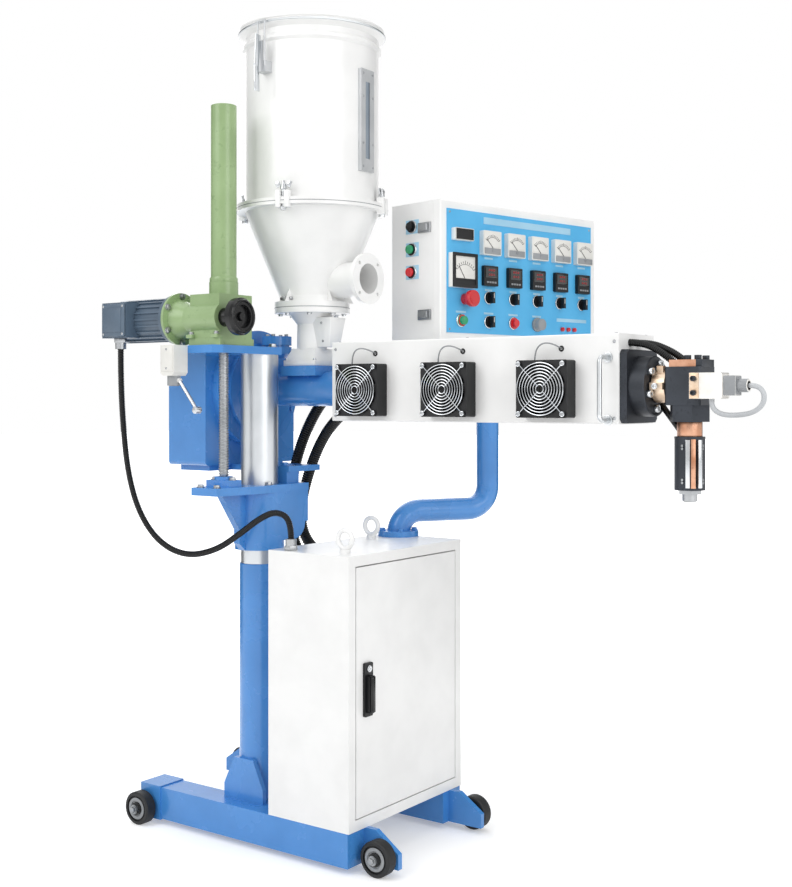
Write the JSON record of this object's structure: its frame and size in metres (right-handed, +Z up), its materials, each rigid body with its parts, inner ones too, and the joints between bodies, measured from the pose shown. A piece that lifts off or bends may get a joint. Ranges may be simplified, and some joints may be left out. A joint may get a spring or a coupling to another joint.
{
  "type": "plastic extruder",
  "caption": "Wheeled auxiliary plastic extruder: screw-lifted carriage with a drying hopper, fan-cooled barrel and downward die, beside a cabinet and a control box.",
  "frame": {"origin": "on the floor under the middle of the box around the machine without its cords", "axes": "+X along the barrel towards the die, +Y away from the fans, +Z up"},
  "size_m": [1.6216, 1.0812, 1.958],
  "materials": {
    "blue_paint": "gloss blue enamel",
    "white_paint": "gloss white enamel",
    "green_paint": "gloss pale green enamel",
    "motor_paint": "satin blue-grey paint",
    "chrome": "polished chrome",
    "steel": "bright steel",
    "rubber": "black rubber",
    "black_plastic": "black moulded plastic",
    "white_plastic": "white moulded plastic",
    "red_plastic": "red moulded plastic",
    "panel_blue": "sky blue panel film",
    "black_iron": "blackened steel",
    "bronze": "heat-tanned bronze",
    "copper": "tanned copper",
    "aluminium": "cast aluminium",
    "black_hose": "black corrugated conduit"
  },
  "bodies": {
    "stand": {"base_beams": "blue_paint", "cross_beam": "blue_paint", "wheel_brackets": "blue_paint", "wheel_axles": "steel", "lower_column": "blue_paint", "mast": "chrome", "top_plate": "blue_paint", "screw_jack": "green_paint", "screw_tube": "green_paint", "jack_motor": "motor_paint", "limit_switch": "white_plastic", "cabinet_shell": "white_paint", "eye_bolts": "white_paint", "cable_glands": "steel", "support_pipe": "blue_paint", "control_box": "white_paint", "side_buttons": "black_plastic", "motor_conduit": "black_hose"},
    "carriage": {"lift_collar": "blue_paint", "lead_screw": "steel", "gearbox_mount": "blue_paint", "gearbox": "blue_paint", "feed_pipe": "blue_paint", "feed_throat": "white_paint", "hopper_cone": "white_paint", "hopper_body": "white_paint", "hopper_fittings": "steel", "barrel": "black_iron", "barrel_cover": "white_paint", "fan_frames": "black_plastic", "fan_guards": "chrome", "pull_handle": "steel", "neck_heater": "bronze", "die_block": "black_iron", "die_top_plate": "copper", "die_terminal": "aluminium", "nozzle_heater": "steel", "nozzle_tip": "bronze", "die_conduit_1": "black_hose", "die_conduit_2": "black_hose", "plug_cable": "black_hose", "barrel_hose_1": "black_hose", "barrel_hose_2": "black_hose"},
    "lid": {"hopper_lid": "white_paint"},
    "cabinet_leaf": {"cabinet_door": "white_paint", "door_handle": "black_plastic"},
    "control_leaf": {"control_door": "white_paint", "control_panel": "panel_blue", "panel_meters": "white_plastic", "panel_controls": "black_plastic", "panel_buttons": "red_plastic"},
    "handwheel": {"handwheel": "black_plastic"},
    "wheel_front_left": {"wheel_front_left": "rubber"},
    "wheel_front_right": {"wheel_front_right": "rubber"},
    "wheel_rear_right": {"wheel_rear_right": "rubber"},
    "wheel_rear_left": {"wheel_rear_left": "rubber"},
    "fan_1": {"fan_rotor_1": "black_plastic"},
    "fan_2": {"fan_rotor_2": "black_plastic"},
    "fan_3": {"fan_rotor_3": "black_plastic"}
  },
  "joints": [
    {"name": "carriage_lift", "type": "slide", "parent": "stand", "child": "carriage", "axis": [0, 0, 1], "range_m": [-0.025, 0.16], "deforming": ["barrel_hose_1", "barrel_hose_2"]},
    {"name": "lid_hinge", "type": "hinge", "parent": "carriage", "child": "lid", "pos_m": [-0.328, -0.00063, 1.948], "axis": [-1, 0, 0], "range_deg": [0, 100]},
    {"name": "cabinet_door_hinge", "type": "hinge", "parent": "stand", "child": "cabinet_leaf", "pos_m": [-0.046, 0.02187, 0.4], "axis": [0, 0, 1], "range_deg": [0, 110]},
    {"name": "control_door_hinge", "type": "hinge", "parent": "stand", "child": "control_leaf", "pos_m": [0.06549, 0.51335, 1.361], "axis": [0, 0, 1], "range_deg": [0, 110]},
    {"name": "handwheel_spin", "type": "hinge", "parent": "stand", "child": "handwheel", "pos_m": [-0.338, -0.46763, 1.237], "axis": [1, 0, 0], "continuous": true},
    {"name": "wheel_front_left_spin", "type": "hinge", "parent": "stand", "child": "wheel_front_left", "pos_m": [-0.682, -0.42563, 0.04], "axis": [0, 1, 0], "continuous": true},
    {"name": "wheel_front_right_spin", "type": "hinge", "parent": "stand", "child": "wheel_front_right", "pos_m": [0.005, -0.36263, 0.04], "axis": [0, 1, 0], "continuous": true},
    {"name": "wheel_rear_right_spin", "type": "hinge", "parent": "stand", "child": "wheel_rear_right", "pos_m": [0.005, 0.03037, 0.04], "axis": [0, 1, 0], "continuous": true},
    {"name": "wheel_rear_left_spin", "type": "hinge", "parent": "stand", "child": "wheel_rear_left", "pos_m": [-0.753, 0.03037, 0.04], "axis": [0, 1, 0], "continuous": true},
    {"name": "fan_1_spin", "type": "hinge", "parent": "carriage", "child": "fan_1", "pos_m": [-0.108, -0.27763, 1.07], "axis": [0, 1, 0], "continuous": true},
    {"name": "fan_2_spin", "type": "hinge", "parent": "carriage", "child": "fan_2", "pos_m": [0.132, -0.27763, 1.07], "axis": [0, 1, 0], "continuous": true},
    {"name": "fan_3_spin", "type": "hinge", "parent": "carriage", "child": "fan_3", "pos_m": [0.376, -0.27763, 1.07], "axis": [0, 1, 0], "continuous": true}
  ]
}
